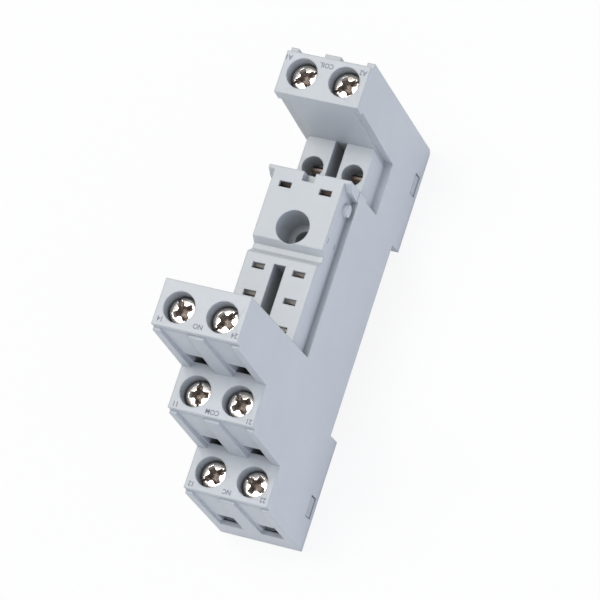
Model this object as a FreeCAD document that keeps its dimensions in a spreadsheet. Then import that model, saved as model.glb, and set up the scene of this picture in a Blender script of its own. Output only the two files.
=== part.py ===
# Relay socket for a 35 mm rail: stepped terminal housing, terminal screws, clamp cages,
# contact strips, rear base and sprung rail latch. Millimetres.
# X runs across the body, +Y points to the contact end, +Z points away from the rail.
# The origin is the middle of the footprint on the back plane.
import FreeCAD, Part
import os
import Sketcher

Vector = FreeCAD.Vector

DRIVING = {
    # body outline, seen from the side
    "body_width": 15.5,
    "body_length": 75.7,
    "low_tier_height": 22.4,
    "tier_rise": 17.5,
    "tier_run": 9.0,
    "tier_setback": 1.5,
    "rib_lean": 0.9,
    "rib_drop": 1.4,
    "bay_lead": 0.6,
    "seat_height": 31.5,
    "seat_end": 57.9,
    "pillar_height": 22.3,
    "coil_wall_foot": 67.1,
    "coil_wall_top": 68.2,
    "coil_height": 39.5,
    "coil_face_end": 75.9,
    "coil_rib_reach": 1.1,
    "rail_start": 20.3,
    "rail_width": 35.9,
    "rail_depth": 3.9,
    "corner_radius": 1.2,
    # relay seat and pillars
    "seat_width": 13.0,
    "shoulder_height": 26.3,
    "clip_groove_drop": 0.9,
    "ear_length": 1.9,
    "ear_flare": 1.15,
    "ear_tip": 0.6,
    "ear_brow": 1.55,
    "ear_brow_drop": 1.9,
    "ear_round": 1.4,
    "pillar_width": 12.7,
    "pillar_gap": 2.1,
    "pillar_ledge": 15.9,
    "ledge_lead": 0.45,
    "ledge_foot": 66.7,
    "band_width": 1.6,
    "band_depth": 0.35,
    "band_drop": 2.7,
    "boss_setback": 4.2,
    "boss_drop": 3.9,
    "boss_diameter": 2.2,
    "boss_reach": 0.88,
    "dent_setback": 10.8,
    "dent_drop": 1.1,
    "dent_rise": 0.5,
    "dent_length": 0.9,
    "dent_height": 0.3,
    "dent_depth": 0.35,
    "key_width": 2.2,
    "key_length": 1.7,
    "key_depth": 2.0,
    "step_start": 42.1,
    "step_floor": 43.1,
    "step_flat": 1.0,
    "step_end": 45.0,
    "step_depth": 1.6,
    "barrier_width": 2.15,
    "barrier_over": 0.9,
    "barrier_depth": 10.0,
    "fixing_place": 47.85,
    "fixing_head_bore": 6.0,
    "fixing_head_depth": 7.2,
    "fixing_bore": 3.4,
    # relay blades, on the usual 5 mm grid
    "pin_spacing": 7.5,
    "coil_pin_place": 54.9,
    "coil_to_contact": 15.0,
    "contact_pitch": 5.0,
    "blade_slot_width": 2.25,
    "blade_slot_length": 1.05,
    "slot_roof": 0.8,
    "module_hole_lead": 0.8,
    "module_hole_bore": 3.9,
    "module_hole_depth": 4.0,
    # terminals
    "screw_spacing": 7.8,
    "low_screw_place": 5.2,
    "coil_screw_place": 72.3,
    "head_bore": 5.5,
    "head_diameter": 4.8,
    "head_height": 2.0,
    "head_recess": 1.9,
    "head_slot_width": 0.55,
    "head_slot_depth": 0.8,
    "cross_width": 0.95,
    "cross_length": 3.5,
    "cross_depth": 1.5,
    "shank_diameter": 2.9,
    "neck_gap": 0.2,
    "thread_gap": 0.05,
    "cage_width": 4.6,
    "cage_depth": 4.3,
    "cage_wall": 0.75,
    "cage_nut": 1.5,
    "cage_floor": 0.75,
    "cage_corner": 0.5,
    "cage_gap": 0.15,
    "cage_travel": 3.2,
    "wire_height": 3.7,
    "wire_width": 3.9,
    "wire_roof": 13.0,
    "wire_lip": 0.3,
    "coil_well_depth": 1.6,
    "funnel_top_width": 5.0,
    "funnel_foot_width": 4.4,
    "funnel_length": 16.9,
    "funnel_depth": 0.8,
    # contact strips
    "strip_thickness": 0.8,
    "strip_width": 3.5,
    "strip_bend": 0.9,
    "strip_gap": 0.1,
    "tongue_drop": 12.0,
    "tongue_width": 2.8,
    "tongue_reach": 1.9,
    "leg_reach": 3.6,
    "run_step": 4.25,
    "coil_run_step": 2.6,
    "fork_length": 8.4,
    "fork_tip_gap": 0.35,
    "fork_half_width": 1.3,
    "fork_pinch": 0.3,
    "fork_leaf": 0.45,
    "fork_flare": 0.9,
    "fork_room": 1.6,
    "module_fork_length": 3.3,
    # rear base
    "wall": 1.3,
    "base_thickness": 1.1,
    "base_gap": 0.05,
    "flange_width": 0.9,
    "hook_length": 5.0,
    "hook_reach": 1.4,
    "hook_low": 0.6,
    "hook_high": 2.6,
    "catch_low": 1.3,
    "catch_high": 3.6,
    "catch_length": 3.6,
    "catch_reach": 1.2,
    "catch_lead": 0.5,
    "catch_setback": 7.5,
    "catch_gap": 0.15,
    "post_length": 1.4,
    "post_places": 14.0,
    "post_pitch": 19.0,
    # rail latch and spring
    "latch_width": 9.4,
    "latch_low": 0.5,
    "latch_gap": 0.1,
    "latch_nose_reach": 2.0,
    "latch_nose_high": 2.6,
    "latch_nose_lead": 1.2,
    "latch_guide_width": 0.6,
    "latch_guide_low": 1.5,
    "latch_guide_high": 2.6,
    "latch_travel": 2.5,
    "tab_width": 7.0,
    "tab_height": 2.3,
    "tab_reach": 2.8,
    "tab_slot_width": 4.2,
    "tab_slot_length": 1.2,
    "tab_slot_rim": 0.9,
    "spring_setback": 11.8,
    "spring_window_width": 3.2,
    "spring_length": 8.6,
    "spring_diameter": 2.5,
    "spring_wire": 0.35,
    "spring_turns": 4.0,
    "spring_peg": 1.4,
}

doc = FreeCAD.newDocument("relay_socket")
sheet = doc.addObject("Spreadsheet::Sheet", "Sizes")
for row, (alias, number) in enumerate(DRIVING.items(), start=1):
    sheet.set(f"A{row}", alias)
    sheet.set(f"B{row}", str(number))
    sheet.setAlias(f"B{row}", alias)
doc.recompute()


class Size:
    """A length: its value, and the formula of sheet cells that features are bound to."""

    def __init__(self, value, formula):
        self.value = float(value)
        self.formula = formula

    def __add__(self, other):
        other = as_size(other)
        return Size(self.value + other.value, f"({self.formula} + {other.formula})")

    def __radd__(self, other):
        return as_size(other) + self

    def __sub__(self, other):
        other = as_size(other)
        return Size(self.value - other.value, f"({self.formula} - {other.formula})")

    def __rsub__(self, other):
        return as_size(other) - self

    def __mul__(self, factor):
        return Size(self.value * factor, f"({self.formula} * {factor})")

    def __rmul__(self, factor):
        return self * factor

    def __truediv__(self, factor):
        return Size(self.value / factor, f"({self.formula} / {factor})")

    def __neg__(self):
        return Size(-self.value, f"(-1 * {self.formula})")


def as_size(number):
    return number if isinstance(number, Size) else Size(number, str(number))


class SheetSizes:
    """Reads one driving dimension of the sheet by its alias."""

    def __getattr__(self, alias):
        return Size(sheet.get(alias), f"Sizes.{alias}")


size = SheetSizes()
ZERO = as_size(0)


def along(place):
    """Y of a place measured from the contact end."""
    return (size.body_length + size.tab_reach) / 2 - place


# Sketch and feature helpers

def origin_plane(body, role):
    return next(item for item in body.Origin.OriginFeatures if item.Role == role)


def new_sketch(body, name, role, offset=None):
    sketch = body.newObject("Sketcher::SketchObject", name)
    sketch.AttachmentSupport = (origin_plane(body, role), "")
    sketch.MapMode = "FlatFace"
    if offset is not None:
        sketch.AttachmentOffset.Base = Vector(0, 0, offset.value)
        sketch.setExpression("AttachmentOffset.Base.z", offset.formula)
    return sketch


def bind_constraint(sketch, kind, parts, length):
    index = sketch.addConstraint(Sketcher.Constraint(kind, *parts, length.value))
    sketch.setExpression(f"Constraints[{index}]", length.formula)


def pin_point(sketch, geometry, end, corner):
    for kind, axis, length in (("DistanceX", -2, corner[0]), ("DistanceY", -1, corner[1])):
        if length is ZERO:
            sketch.addConstraint(Sketcher.Constraint("PointOnObject", geometry, end, axis))
        else:
            bind_constraint(sketch, kind, (-1, 1, geometry, end), length)


def draw_outline(sketch, corners):
    """Closed outline through the corners, each pinned to its formulas."""
    first = sketch.GeometryCount
    count = len(corners)
    points = [Vector(corner[0].value, corner[1].value, 0) for corner in corners]
    for i in range(count):
        sketch.addGeometry(Part.LineSegment(points[i], points[(i + 1) % count]), False)
    for i in range(count):
        sketch.addConstraint(Sketcher.Constraint("Coincident", first + i, 2, first + (i + 1) % count, 1))
    for i, corner in enumerate(corners):
        pin_point(sketch, first + i, 1, corner)


def draw_box(sketch, low_x, high_x, low_y, high_y):
    draw_outline(sketch, [(low_x, low_y), (high_x, low_y), (high_x, high_y), (low_x, high_y)])


def draw_circle(sketch, centre, diameter):
    middle = Vector(centre[0].value, centre[1].value, 0)
    index = sketch.addGeometry(Part.Circle(middle, Vector(0, 0, 1), diameter.value / 2), False)
    pin_point(sketch, index, 3, centre)
    bind_constraint(sketch, "Diameter", (index,), diameter)


def solid_feature(kind, body, name, sketch, length, side="One side", reverse=False):
    feature = body.newObject(f"PartDesign::{kind}", name)
    feature.Profile = sketch
    feature.SideType = side
    feature.Length = length.value
    feature.setExpression("Length", length.formula)
    feature.Reversed = reverse
    sketch.Visibility = False
    return feature


def pad(body, name, sketch, length, side="One side", reverse=False):
    return solid_feature("Pad", body, name, sketch, length, side, reverse)


def pocket(body, name, sketch, length, side="One side", reverse=False):
    """Cuts against the sketch's normal, or along it when reversed."""
    return solid_feature("Pocket", body, name, sketch, length, side, reverse)


def mirror_sides(body, name, features=()):
    """Repeats the features, or with none named the whole body, on the other side of the middle plane."""
    before = body.Tip
    mirrored = body.newObject("PartDesign::Mirrored", name)
    mirrored.BaseFeature = before
    if features:
        mirrored.Originals = list(features)
    else:
        mirrored.TransformMode = "Whole shape"
    mirrored.MirrorPlane = (origin_plane(body, "YZ_Plane"), [""])
    body.Tip = mirrored
    return mirrored


def new_body(label):
    return doc.addObject("PartDesign::Body", label)


def put_at(body, x, y, z, turn=0):
    """Places a piece that is modelled about its own origin."""
    rotation = FreeCAD.Rotation(Vector(0, 0, 1), turn)
    body.Placement = FreeCAD.Placement(Vector(x.value, y.value, z.value), rotation)
    for axis, length in (("x", x), ("y", y), ("z", z)):
        body.setExpression(f"Placement.Base.{axis}", length.formula)


def edges_where(feature, wanted):
    """Names of the feature's straight edges whose two ends satisfy the test."""
    doc.recompute([feature])
    names = []
    for index, edge in enumerate(feature.Shape.Edges, start=1):
        if len(edge.Vertexes) == 2 and wanted(edge.Vertexes[0].Point, edge.Vertexes[1].Point):
            names.append(f"Edge{index}")
    return names


def near(value, length):
    return abs(value - length.value) < 0.001


def round_edges(body, name, feature, wanted, radius):
    rounding = body.newObject("PartDesign::Fillet", name)
    rounding.Base = (feature, edges_where(feature, wanted))
    rounding.Radius = radius.value
    rounding.setExpression("Radius", radius.formula)
    return rounding


def across_at(y, z):
    """Test for an edge that runs across the body at one place of the side view."""
    return lambda a, b: all(near(p.y, y) and near(p.z, z) for p in (a, b)) and abs(a.x - b.x) > 0.01


# Terminals: where each pair of screws stands and which way its wires come in

class Terminal:
    """Pair of screws under one face: the face's edge, and the sill of the wire funnels below it."""

    def __init__(self, name, marks, place, height, face_edge, sill_edge, sill, well_foot, outward):
        self.name = name
        self.marks = marks
        self.y = along(place)
        self.height = height
        self.edge_y = along(face_edge)
        self.sill_y = along(sill_edge)
        self.sill = sill
        self.well_foot = well_foot
        self.outward = outward

    def below(self, depth):
        return self.height - depth


RAIL_END = size.rail_start + size.rail_width
BAY_START = size.tier_run * 3 + size.bay_lead
EAR_START = size.seat_end - size.ear_length
MODULE_PLACE = (size.seat_end + size.coil_wall_foot) / 2 - size.module_hole_lead
LATCH_END = size.body_length - size.wall - size.latch_travel - size.latch_gap
SPRING_START = LATCH_END - size.spring_setback


def tier(name, marks, index):
    run = size.tier_run * index
    height = size.low_tier_height + size.tier_rise * index
    sill = height - (size.tier_rise if index else size.funnel_length)
    return Terminal(name, marks, size.low_screw_place + run, height, size.tier_setback + run,
                    size.funnel_depth + run, sill, size.rail_depth, 1)


TIERS = [
    tier("low", ("12", "22"), 0),
    tier("middle", ("11", "21"), 1),
    tier("high", ("14", "24"), 2),
]
COIL_SILL = size.coil_height - size.funnel_length
COIL = Terminal("coil", ("a1", "a2"), size.coil_screw_place, size.coil_height, size.coil_face_end,
                size.body_length, COIL_SILL, COIL_SILL - size.coil_well_depth, -1)
TERMINALS = TIERS + [COIL]

# Depths below a terminal's front face
SEAT_DEPTH = size.head_recess + size.head_height
TONGUE_FOOT = size.tongue_drop + size.strip_thickness
WIRE_FLOOR = TONGUE_FOOT + size.wire_height
CAGE_TOP = size.tongue_drop - size.cage_gap - size.cage_nut
CAGE_BOTTOM = WIRE_FLOOR + size.cage_floor
ROOM_DEPTH = CAGE_TOP - size.cage_travel - size.cage_gap

PIN_X = size.pin_spacing / 2
SCREW_X = size.screw_spacing / 2
HALF_WIDTH = size.body_width / 2
BASE_TOP = size.rail_depth + size.base_thickness

# Relay blades, from the coil end: coil, then break, common and make contacts
BREAK_PLACE = size.coil_pin_place - size.coil_to_contact
COMMON_PLACE = BREAK_PLACE - size.contact_pitch
MAKE_PLACE = COMMON_PLACE - size.contact_pitch

# Heights of the strips' runs and forks
LOW_RUN = TIERS[0].below(size.tongue_drop)
MIDDLE_RUN = LOW_RUN + size.run_step
HIGH_RUN = MIDDLE_RUN + size.run_step
COIL_RUN = LOW_RUN + size.coil_run_step
FORK_TIP = size.seat_height - size.slot_roof - size.fork_tip_gap
FORK_FOOT = FORK_TIP - size.fork_length
MODULE_TIP = size.pillar_height - size.module_hole_depth - size.fork_tip_gap
MODULE_FOOT = MODULE_TIP - size.module_fork_length
CATCH_PLACES = (size.catch_setback, size.body_length - size.catch_setback)


# Housing

def side_outline():
    """Corners of the body seen from the side, as (Y, Z), starting at the contact end's back edge."""
    corners = []
    for index, step in enumerate(TIERS):
        foot = size.tier_run * index
        foot_height = ZERO if index == 0 else TIERS[index - 1].height
        rib_top = step.height - size.rib_drop
        corners += [
            (along(foot), foot_height),
            (along(foot + size.rib_lean), rib_top),
            (step.edge_y, rib_top),
            (step.edge_y, step.height),
        ]
    high = TIERS[-1].height
    coil_rib_top = size.coil_height - size.rib_drop
    corners += [
        (along(BAY_START), high),
        (along(BAY_START), size.seat_height),
        (along(size.seat_end), size.seat_height),
        (along(size.seat_end), size.pillar_height),
        (along(size.coil_wall_foot), size.pillar_height),
        (along(size.coil_wall_top), size.coil_height),
        (COIL.edge_y, size.coil_height),
        (COIL.edge_y, coil_rib_top),
        (along(size.coil_face_end + size.coil_rib_reach), coil_rib_top),
        (along(size.body_length), ZERO),
        (along(RAIL_END), ZERO),
        (along(RAIL_END), size.rail_depth),
        (along(size.rail_start), size.rail_depth),
        (along(size.rail_start), ZERO),
    ]
    return corners


def cut_seat_side(body):
    """Side strip beside the relay seat, with a clip groove at its foot and a claw-shaped ear at its end."""
    half_seat = size.seat_width / 2
    outside = HALF_WIDTH + size.wall
    height = size.seat_height - size.shoulder_height + size.wall
    plan = new_sketch(body, "seat_side_plan", "XY_Plane", size.shoulder_height)
    draw_box(plan, half_seat, outside, along(EAR_START), along(BAY_START))
    pocket(body, "seat_side", plan, height, reverse=True)
    plan = new_sketch(body, "ear_end_plan", "XY_Plane", size.shoulder_height)
    draw_box(plan, half_seat + size.ear_flare, outside, along(size.seat_end), along(EAR_START))
    pocket(body, "ear_end", plan, height, reverse=True)
    brow = (along(size.seat_end - size.ear_brow), size.seat_height - size.ear_brow_drop)
    view = new_sketch(body, "ear_view", "YZ_Plane", half_seat)
    draw_outline(view, [
        (along(EAR_START), size.shoulder_height),
        brow,
        (along(size.seat_end - size.ear_tip), size.seat_height),
        (along(size.seat_end - size.ear_tip), size.seat_height + size.wall),
        (along(EAR_START), size.seat_height + size.wall),
    ])
    claw = pocket(body, "ear_claw", view, size.wall * 2, reverse=True)
    body.Tip = round_edges(body, "ear_brow_round", claw, across_at(*brow), size.ear_round)
    end_view = new_sketch(body, "clip_groove_view", "XZ_Plane", -along(BAY_START))
    draw_outline(end_view, [
        (half_seat, size.shoulder_height - size.clip_groove_drop),
        (outside, size.shoulder_height),
        (outside, size.shoulder_height + size.wall),
        (half_seat, size.shoulder_height + size.wall),
    ])
    pocket(body, "clip_groove", end_view, EAR_START - BAY_START, reverse=True)


def cut_pillar_side(body):
    """Ledge beside a module pillar; its end follows the slope of the coil block's wall."""
    view = new_sketch(body, "pillar_side_view", "YZ_Plane", size.pillar_width / 2)
    draw_outline(view, [
        (along(size.seat_end - size.ledge_lead), size.pillar_ledge),
        (along(size.seat_end - size.ledge_lead), size.pillar_height),
        (along(size.seat_end), size.pillar_height),
        (along(size.seat_end), size.shoulder_height + size.wall),
        (along(size.coil_wall_foot), size.shoulder_height + size.wall),
        (along(size.coil_wall_foot), size.pillar_height),
        (along(size.ledge_foot), size.pillar_ledge),
    ])
    pocket(body, "pillar_side", view, size.wall * 2, reverse=True)


def cut_coil_wall_band(body):
    """Shallow band along the outer edge of the coil block's wall over the pillars."""
    view = new_sketch(body, "band_view", "YZ_Plane", HALF_WIDTH - size.band_width)
    low = size.pillar_ledge
    high = size.coil_height - size.band_drop
    foot = size.coil_wall_foot
    top = size.coil_wall_top
    draw_outline(view, [
        (along(size.ledge_foot - size.band_depth), low),
        (along(size.ledge_foot + size.band_depth), low),
        (along(foot + size.band_depth), size.pillar_height),
        (along(top + size.band_depth), high),
        (along(top - size.band_depth), high),
        (along(foot - size.band_depth), size.pillar_height),
    ])
    pocket(body, "coil_wall_band", view, size.band_width + size.wall, reverse=True)


def cut_terminal(body, terminal):
    """Screw bore, cage room, wire funnel and wire hole of the terminal on the +X side."""
    name = terminal.name
    out = terminal.outward
    bore_view = new_sketch(body, f"{name}_bore_plan", "XY_Plane", terminal.height)
    draw_circle(bore_view, (SCREW_X, terminal.y), size.head_bore)
    pocket(body, f"{name}_bore", bore_view, SEAT_DEPTH)

    neck_view = new_sketch(body, f"{name}_neck_plan", "XY_Plane", terminal.height)
    draw_circle(neck_view, (SCREW_X, terminal.y), size.shank_diameter + size.neck_gap * 2)
    pocket(body, f"{name}_neck", neck_view, ROOM_DEPTH + size.wall)

    half_room = size.cage_width / 2 + size.cage_gap
    half_depth = size.cage_depth / 2 + size.cage_gap
    room_view = new_sketch(body, f"{name}_room_plan", "XY_Plane", size.rail_depth)
    draw_box(room_view, SCREW_X - half_room, SCREW_X + half_room,
             terminal.y - half_depth, terminal.y + half_depth)
    room_height = terminal.below(ROOM_DEPTH) - size.rail_depth
    pocket(body, f"{name}_room", room_view, room_height, reverse=True)

    cut_funnel(body, terminal)
    half_wire = size.wire_width / 2
    inner = terminal.y + (half_depth - size.cage_gap) * out
    plan = new_sketch(body, f"{name}_wire_plan", "XY_Plane", terminal.sill)
    draw_box(plan, SCREW_X - half_wire, SCREW_X + half_wire, inner, terminal.edge_y + size.tier_setback * out)
    hole_height = terminal.below(size.wire_roof) - terminal.sill
    pocket(body, f"{name}_wire_hole", plan, hole_height, reverse=True)
    plan = new_sketch(body, f"{name}_well_plan", "XY_Plane", terminal.well_foot)
    draw_box(plan, SCREW_X - half_wire, SCREW_X + half_wire, inner, terminal.sill_y - size.wire_lip * out)
    pocket(body, f"{name}_well", plan, terminal.below(size.wire_roof) - terminal.well_foot, reverse=True)


def cut_funnel(body, terminal):
    """Wire funnel: its floor leans from the face's edge down to the sill, and its sides close in a little."""
    outside = (size.tier_setback + size.coil_rib_reach) * terminal.outward
    ends = (
        ("top", size.funnel_top_width / 2, terminal.edge_y, terminal.height),
        ("foot", size.funnel_foot_width / 2, terminal.sill_y, terminal.sill),
    )
    plans = []
    for end, half, floor_y, height in ends:
        plan = new_sketch(body, f"{terminal.name}_funnel_{end}", "XY_Plane", height)
        draw_box(plan, SCREW_X - half, SCREW_X + half, floor_y, terminal.edge_y + outside)
        plans.append(plan)
    funnel = body.newObject("PartDesign::SubtractiveLoft", f"{terminal.name}_funnel")
    funnel.Profile = plans[0]
    funnel.Sections = [plans[1]]
    funnel.Ruled = True


def strip_room(body, name, corners):
    """Room for a contact strip, open towards the rear base."""
    view = new_sketch(body, f"{name}_strip_room_view", "YZ_Plane", PIN_X)
    draw_outline(view, corners)
    pocket(body, f"{name}_strip_room", view, size.strip_width, side="Symmetric")


def fork_room(place, floor):
    """Corners of the room for a spring fork that stands up from a run, towards the coil end."""
    roof = size.seat_height - size.slot_roof
    return [
        (along(place - size.fork_room), floor),
        (along(place - size.fork_room), roof),
        (along(place + size.fork_room), roof),
    ]


def cut_strip_rooms(body):
    rear = size.rail_depth
    low, middle, high = TIERS
    overlap = size.cage_gap * 2
    half_depth = size.cage_depth / 2

    def behind(terminal):
        return terminal.y - half_depth + overlap

    strip_room(body, "low", [
        (behind(low), rear),
        (behind(low), low.below(size.tongue_drop)),
        *fork_room(BREAK_PLACE, low.below(size.tongue_drop)),
        (along(BREAK_PLACE + size.fork_room), rear),
    ])
    for terminal, run, place in ((middle, MIDDLE_RUN, COMMON_PLACE), (high, HIGH_RUN, MAKE_PLACE)):
        leg_y = terminal.y - size.leg_reach
        strip_room(body, terminal.name, [
            (behind(terminal), rear),
            (behind(terminal), terminal.below(size.tongue_drop)),
            (leg_y, terminal.below(size.tongue_drop)),
            (leg_y, run),
            *fork_room(place, run),
            (along(place + size.fork_room), rear),
        ])
    module_roof = size.pillar_height - size.module_hole_depth
    strip_room(body, "coil", [
        (along(size.coil_pin_place - size.fork_room), rear),
        (along(size.coil_pin_place - size.fork_room), size.seat_height - size.slot_roof),
        (along(size.coil_pin_place + size.fork_room), size.seat_height - size.slot_roof),
        (along(size.coil_pin_place + size.fork_room), COIL_RUN),
        (along(MODULE_PLACE - size.fork_room), COIL_RUN),
        (along(MODULE_PLACE - size.fork_room), module_roof),
        (along(MODULE_PLACE + size.fork_room), module_roof),
        (along(MODULE_PLACE + size.fork_room), COIL_RUN),
        (COIL.y + size.leg_reach, COIL_RUN),
        (COIL.y + size.leg_reach, COIL.below(size.tongue_drop)),
        (COIL.y + half_depth - overlap, COIL.below(size.tongue_drop)),
        (COIL.y + half_depth - overlap, rear),
    ])


def cut_blade_slots(body):
    half_width = size.blade_slot_width / 2
    half_length = size.blade_slot_length / 2
    plan = new_sketch(body, "blade_slot_plan", "XY_Plane", size.seat_height)
    for place in (size.coil_pin_place, BREAK_PLACE, COMMON_PLACE, MAKE_PLACE):
        y = along(place)
        draw_box(plan, PIN_X - half_width, PIN_X + half_width, y - half_length, y + half_length)
    pocket(body, "blade_slots", plan, size.slot_roof * 2)
    plan = new_sketch(body, "module_hole_plan", "XY_Plane", size.pillar_height)
    draw_circle(plan, (PIN_X, along(MODULE_PLACE)), size.module_hole_bore)
    pocket(body, "module_hole", plan, size.module_hole_depth * 1.2)


def cut_catch_windows(body):
    view = new_sketch(body, "catch_window_view", "YZ_Plane", HALF_WIDTH - size.wall - size.catch_gap)
    half = size.catch_length / 2 + size.catch_gap
    for place in CATCH_PLACES:
        y = along(place)
        draw_box(view, y - half, y + half,
                 size.catch_low - size.catch_gap, size.catch_high + size.catch_gap)
    pocket(body, "catch_windows", view, size.wall * 2, reverse=True)


def cut_middle_features(body):
    """Cuts on the middle line: seat step, barrier slot, key notch, pillar gap and fixing hole."""
    view = new_sketch(body, "seat_step_view", "YZ_Plane")
    over = size.seat_height + size.step_depth
    draw_outline(view, [
        (along(size.step_start), size.seat_height),
        (along(size.step_floor), size.seat_height - size.step_depth),
        (along(size.step_floor + size.step_flat), size.seat_height - size.step_depth),
        (along(size.step_end), size.seat_height),
        (along(size.step_end), over),
        (along(size.step_start), over),
    ])
    pocket(body, "seat_step", view, size.body_width * 2, side="Symmetric")

    def slot(name, width, low_place, high_place, top, depth):
        plan = new_sketch(body, f"{name}_plan", "XY_Plane", top)
        draw_box(plan, -width / 2, width / 2, along(high_place), along(low_place))
        pocket(body, name, plan, depth)

    slot("barrier_slot", size.barrier_width, MAKE_PLACE - size.barrier_over,
         BREAK_PLACE + size.barrier_over, size.seat_height, size.barrier_depth)
    slot("key_notch", size.key_width, size.seat_end - size.key_length, size.seat_end + size.wall,
         size.seat_height, size.key_depth)
    slot("pillar_gap_cut", size.pillar_gap, size.seat_end, size.coil_wall_foot, size.pillar_height,
         size.pillar_height - size.pillar_ledge)

    plan = new_sketch(body, "fixing_head_plan", "XY_Plane", size.seat_height)
    draw_circle(plan, (ZERO, along(size.fixing_place)), size.fixing_head_bore)
    pocket(body, "fixing_head_hole", plan, size.fixing_head_depth)
    plan = new_sketch(body, "fixing_plan", "XY_Plane", size.seat_height)
    draw_circle(plan, (ZERO, along(size.fixing_place)), size.fixing_bore)
    pocket(body, "fixing_hole", plan, size.seat_height)


def cut_rear_recess(body):
    """Recess in the back for the rear base, and the doorway for the latch's tab."""
    half = HALF_WIDTH - size.wall
    plan = new_sketch(body, "rear_recess_plan", "XY_Plane", BASE_TOP)
    draw_box(plan, -half, half, along(size.body_length - size.wall), along(size.wall))
    pocket(body, "rear_recess", plan, BASE_TOP * 2)
    door_top = size.latch_low + size.tab_height + size.catch_gap
    plan = new_sketch(body, "tab_door_plan", "XY_Plane", door_top)
    half = size.tab_width / 2 + size.catch_gap
    outside = size.body_length + size.wall
    draw_box(plan, -half, half, along(outside), along(size.body_length - size.wall * 2))
    pocket(body, "tab_door", plan, size.rail_depth)


def add_side_boss(body):
    """Round boss on the seat's side, under the ear."""
    view = new_sketch(body, "boss_view", "YZ_Plane", size.seat_width / 2)
    place = along(size.seat_end - size.boss_setback)
    draw_circle(view, (place, size.seat_height - size.boss_drop), size.boss_diameter)
    pad(body, "side_boss", view, size.boss_reach)


def cut_side_dents(body):
    """Two small dents in the seat's side, one near its top edge and one just over the shoulder."""
    view = new_sketch(body, "side_dent_view", "YZ_Plane", size.seat_width / 2 - size.dent_depth)
    place = size.seat_end - size.dent_setback
    half = size.dent_length / 2
    for middle in (size.seat_height - size.dent_drop, size.shoulder_height + size.dent_rise):
        draw_box(view, along(place + half), along(place - half),
                 middle - size.dent_height / 2, middle + size.dent_height / 2)
    pocket(body, "side_dents", view, size.wall, reverse=True)


def make_housing():
    """One half of the moulding, from the middle plane outwards, then its mirror image."""
    body = new_body("housing")
    view = new_sketch(body, "side_view", "YZ_Plane")
    draw_outline(view, side_outline())
    block = pad(body, "block", view, HALF_WIDTH)
    back_edge = across_at(along(size.body_length), ZERO)
    body.Tip = round_edges(body, "back_corner", block, back_edge, size.corner_radius)
    cut_rear_recess(body)
    cut_middle_features(body)
    cut_seat_side(body)
    cut_pillar_side(body)
    cut_coil_wall_band(body)
    for terminal in TERMINALS:
        cut_terminal(body, terminal)
    cut_strip_rooms(body)
    cut_blade_slots(body)
    cut_catch_windows(body)
    add_side_boss(body)
    cut_side_dents(body)
    mirror_sides(body, "both_halves")
    return body


# Terminal screws

def make_screw(terminal, mark, side, turn):
    """Cheese-head screw with slot and cross; its origin is the middle of the head's top."""
    body = new_body(f"screw_{mark}")
    half_head = size.head_diameter / 2
    half_shank = size.shank_diameter / 2
    length = size.tongue_drop - size.head_recess - size.thread_gap
    view = new_sketch(body, f"screw_{mark}_view", "XZ_Plane")
    draw_outline(view, [
        (ZERO, ZERO),
        (half_head, ZERO),
        (half_head, -size.head_height),
        (half_shank, -size.head_height),
        (half_shank, -length),
        (ZERO, -length),
    ])
    turned = body.newObject("PartDesign::Revolution", f"screw_{mark}_turned")
    turned.Profile = view
    turned.ReferenceAxis = (view, ["V_Axis"])
    turned.Angle = 360
    plan = new_sketch(body, f"screw_{mark}_slot_plan", "XY_Plane")
    half = size.head_slot_width / 2
    draw_box(plan, -half_head * 1.1, half_head * 1.1, -half, half)
    pocket(body, f"screw_{mark}_slot", plan, size.head_slot_depth)
    arms = ((size.cross_length, size.cross_width), (size.cross_width, size.cross_length))
    for index, (long, wide) in enumerate(arms):
        plan = new_sketch(body, f"screw_{mark}_cross_plan_{index}", "XY_Plane")
        draw_box(plan, -long / 2, long / 2, -wide / 2, wide / 2)
        pocket(body, f"screw_{mark}_cross_{index}", plan, size.cross_depth)
    put_at(body, SCREW_X * side, terminal.y, terminal.below(size.head_recess), turn)


# Clamp cages

def make_cage(terminal, mark, side):
    """Folded box round the strip's tongue, with a threaded roof; its origin is the roof's middle."""
    body = new_body(f"clamp_{mark}")
    half = size.cage_width / 2
    height = CAGE_BOTTOM - CAGE_TOP
    view = new_sketch(body, f"clamp_{mark}_view", "XZ_Plane")
    fold = half - size.cage_corner
    draw_outline(view, [
        (-fold, ZERO),
        (-half, -size.cage_corner),
        (-half, size.cage_corner - height),
        (-fold, -height),
        (fold, -height),
        (half, size.cage_corner - height),
        (half, -size.cage_corner),
        (fold, ZERO),
    ])
    pad(body, f"clamp_{mark}_block", view, size.cage_depth, side="Symmetric")
    view = new_sketch(body, f"clamp_{mark}_window_view", "XZ_Plane")
    inner = half - size.cage_wall
    draw_box(view, -inner, inner, size.cage_floor - height, -size.cage_nut)
    pocket(body, f"clamp_{mark}_window", view, size.cage_depth * 2, side="Symmetric")
    plan = new_sketch(body, f"clamp_{mark}_thread_plan", "XY_Plane")
    draw_circle(plan, (ZERO, ZERO), size.shank_diameter + size.thread_gap * 2)
    pocket(body, f"clamp_{mark}_thread", plan, size.cage_nut * 1.2)
    put_at(body, SCREW_X * side, terminal.y, terminal.below(CAGE_TOP))


# Contact strips

def fork_outline(place, foot, tip):
    """Corners of a two-leaf spring fork, from its contact-end side round to its coil-end side."""
    pinch = tip - size.fork_flare
    outer = size.fork_half_width
    leaf = size.fork_leaf
    floor = foot + size.strip_thickness
    near_side = [
        (outer, foot),
        (size.fork_pinch + leaf, pinch),
        (outer * 0.9, tip),
        (outer * 0.9 - leaf, tip),
        (size.fork_pinch, pinch),
        (outer - leaf, floor),
    ]
    corners = [(along(place - offset), height) for offset, height in near_side]
    corners += [(along(place + offset), height) for offset, height in reversed(near_side)]
    return corners


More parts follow.
